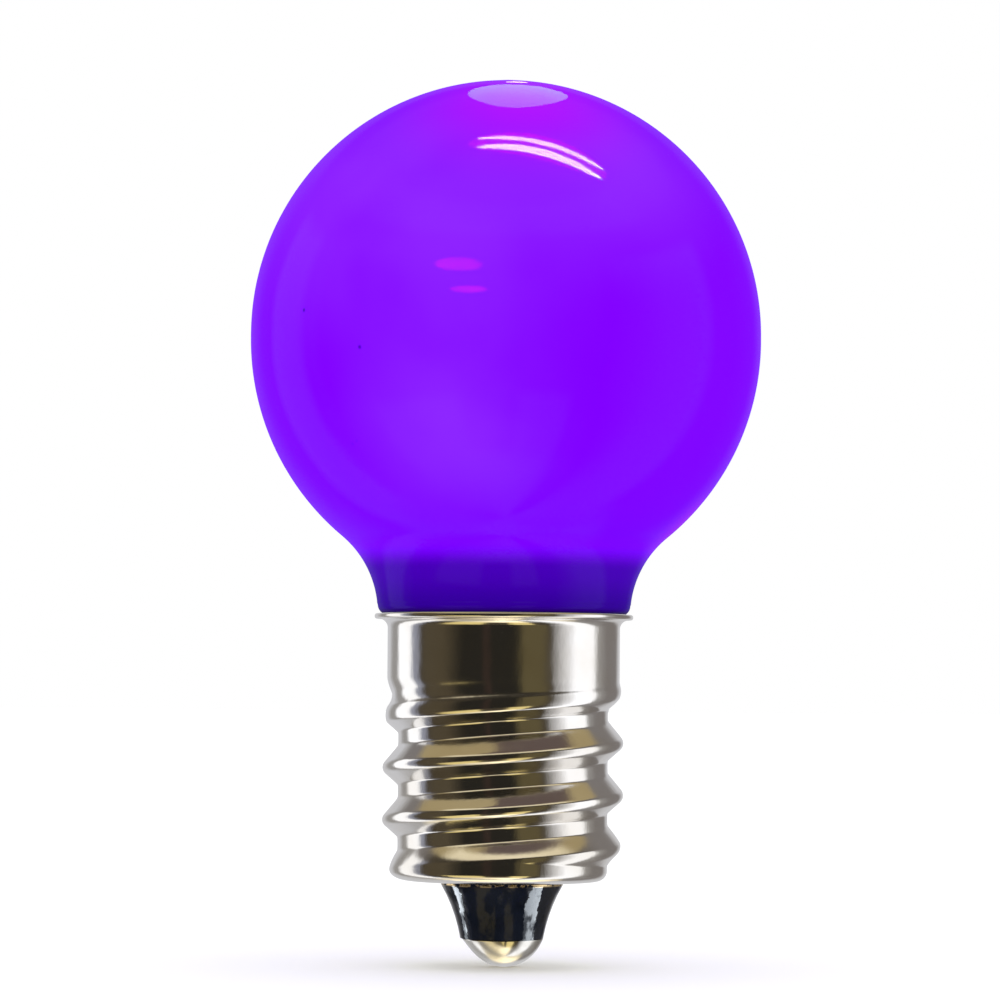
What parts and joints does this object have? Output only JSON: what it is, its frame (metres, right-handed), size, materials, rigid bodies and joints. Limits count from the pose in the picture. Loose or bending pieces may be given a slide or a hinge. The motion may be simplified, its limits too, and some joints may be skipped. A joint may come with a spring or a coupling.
{
  "type": "led globe bulb",
  "caption": "Small round purple LED globe bulb on a nickel-plated candelabra screw cap with a black glass insulator and a soldered centre contact.",
  "frame": {"origin": "on the bulb's axis, level with the lowest point of the centre contact", "axes": "+Z along the bulb's axis, from the contact up through the globe; +X to the right and +Y away from the camera in the picture"},
  "size_m": [0.025, 0.025, 0.0433],
  "materials": {
    "globe": "gloss, opaque coloured coating",
    "shell": "polished nickel plate",
    "insulator": "gloss black, opaque",
    "contact": "bright solder"
  },
  "bodies": {
    "root": {"globe": "globe", "screw_shell": "shell", "insulator": "insulator", "contact": "contact"}
  },
  "joints": []
}
